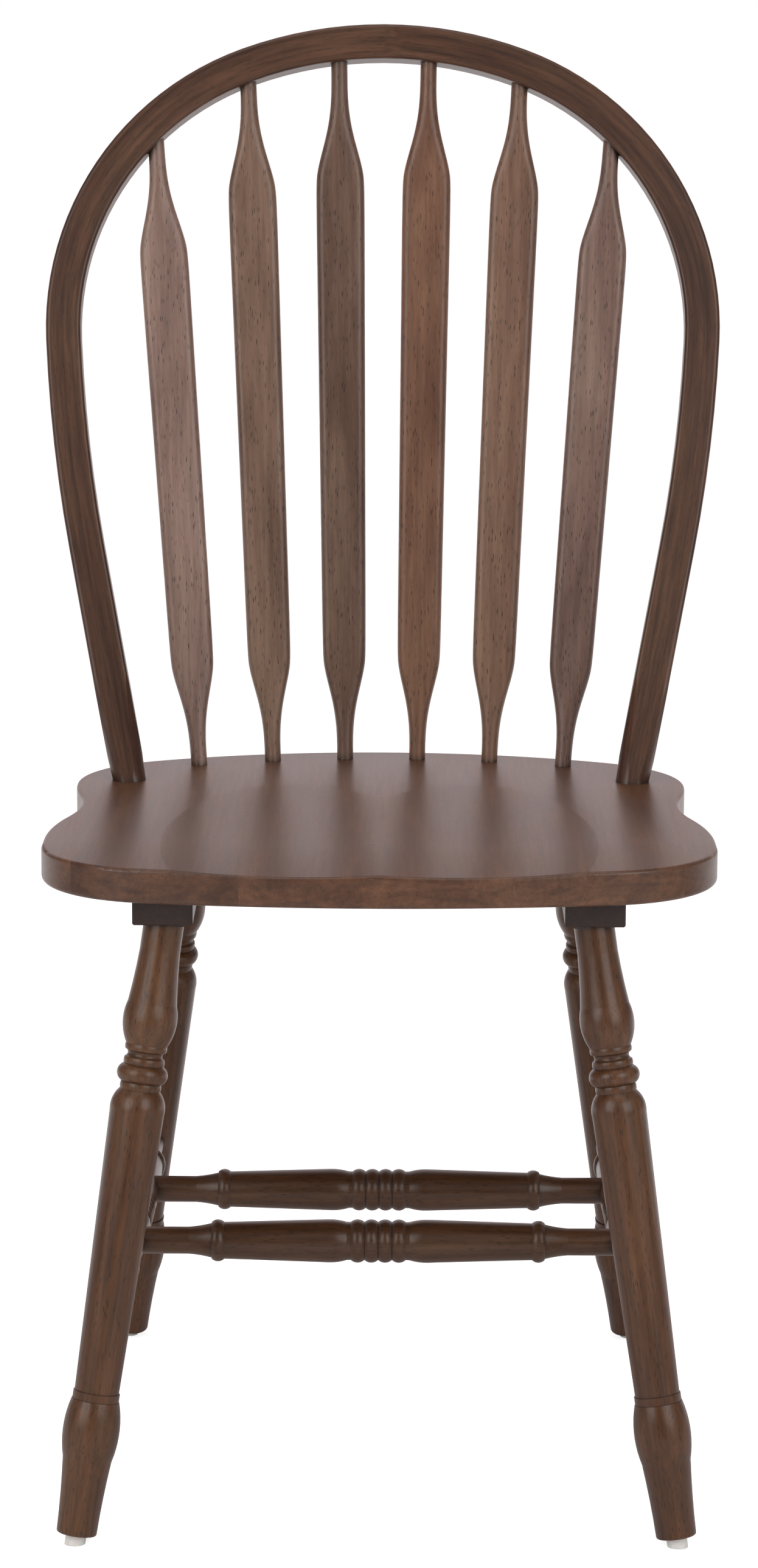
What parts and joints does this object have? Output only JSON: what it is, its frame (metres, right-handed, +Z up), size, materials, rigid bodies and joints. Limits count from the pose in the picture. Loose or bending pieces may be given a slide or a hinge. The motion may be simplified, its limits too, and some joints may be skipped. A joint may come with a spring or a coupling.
{
  "type": "side chair",
  "caption": "Armless wooden dining chair with a bent hoop back, flat arrow-shaped spindles, a scooped plank seat, splayed turned legs and turned stretchers.",
  "frame": {"origin": "on the floor, in the middle of the chair's width and depth", "axes": "+Z up, +Y from the seat's front edge towards the back, +X to the right seen from the front"},
  "size_m": [0.477, 0.4884, 0.9737],
  "materials": {
    "seat_wood": "satin dark-brown stain and lacquer on rubberwood, seat staves run front to back",
    "bow_wood": "satin dark-brown stain and lacquer on rubberwood, grain follows the bend",
    "spindle_wood": "satin dark-brown stain and lacquer on rubberwood, grain upright",
    "leg_wood": "satin dark-brown stain and lacquer on rubberwood, grain along the leg",
    "stretcher_wood": "satin dark-brown stain and lacquer on rubberwood, grain along the stretcher",
    "cleat_wood": "satin dark-brown stain and lacquer on rubberwood, grain along the cleat",
    "glide_nylon": "moulded translucent white nylon",
    "zinc_steel": "bright zinc-plated steel",
    "insert_zinc": "cast zinc alloy, dull"
  },
  "bodies": {
    "root": {"seat": "seat_wood", "bow": "bow_wood", "spindle_1": "spindle_wood", "spindle_2": "spindle_wood", "spindle_3": "spindle_wood", "spindle_4": "spindle_wood", "spindle_5": "spindle_wood", "spindle_6": "spindle_wood", "front_left_leg": "leg_wood", "front_right_leg": "leg_wood", "rear_left_leg": "leg_wood", "rear_right_leg": "leg_wood", "left_seat_cleat": "cleat_wood", "right_seat_cleat": "cleat_wood", "left_side_stretcher": "stretcher_wood", "right_side_stretcher": "stretcher_wood", "front_cross_stretcher": "stretcher_wood", "rear_cross_stretcher": "stretcher_wood", "front_left_glide": "glide_nylon", "front_right_glide": "glide_nylon", "rear_left_glide": "glide_nylon", "rear_right_glide": "glide_nylon", "glide_nails": "zinc_steel", "leg_bolts": "zinc_steel", "leg_inserts": "insert_zinc", "cleat_screws": "zinc_steel"}
  },
  "joints": []
}
